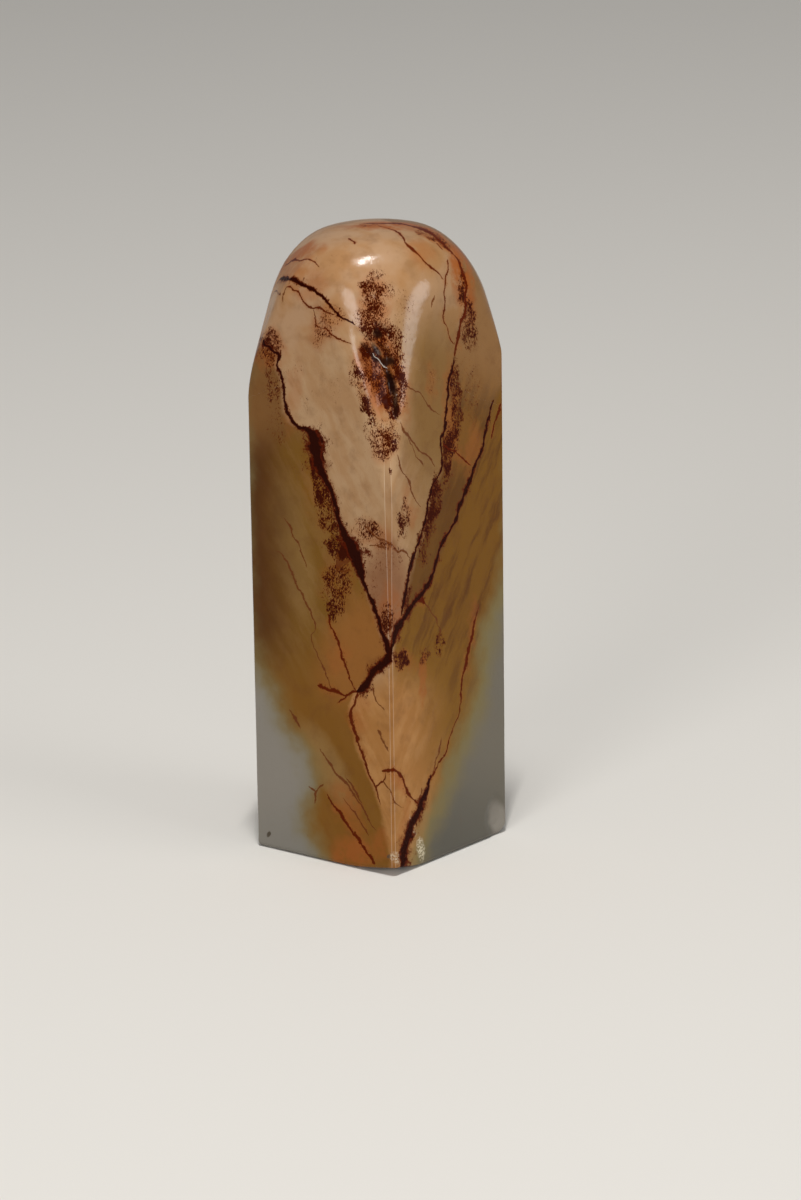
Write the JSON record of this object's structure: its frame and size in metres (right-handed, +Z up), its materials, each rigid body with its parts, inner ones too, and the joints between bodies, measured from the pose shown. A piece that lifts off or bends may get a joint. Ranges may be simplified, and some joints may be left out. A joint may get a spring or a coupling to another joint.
{
  "type": "seal stamp",
  "caption": "Upright square stone seal with a domed head, ground corner flats and a seal face carved in relief, for stamping an impression by hand.",
  "frame": {"origin": "middle of the seal face, on the surface that the seal stands on", "axes": "+Z up along the block, X and Y square to its four side faces; the front upright edge of the picture is between the -Y and +X faces"},
  "size_m": [0.0248, 0.0258, 0.0884],
  "materials": {
    "stone": "hand-polished honey and cream stone with iron-brown veins and milky grey foot corners"
  },
  "bodies": {
    "root": {"seal_stone": "stone"}
  },
  "joints": []
}
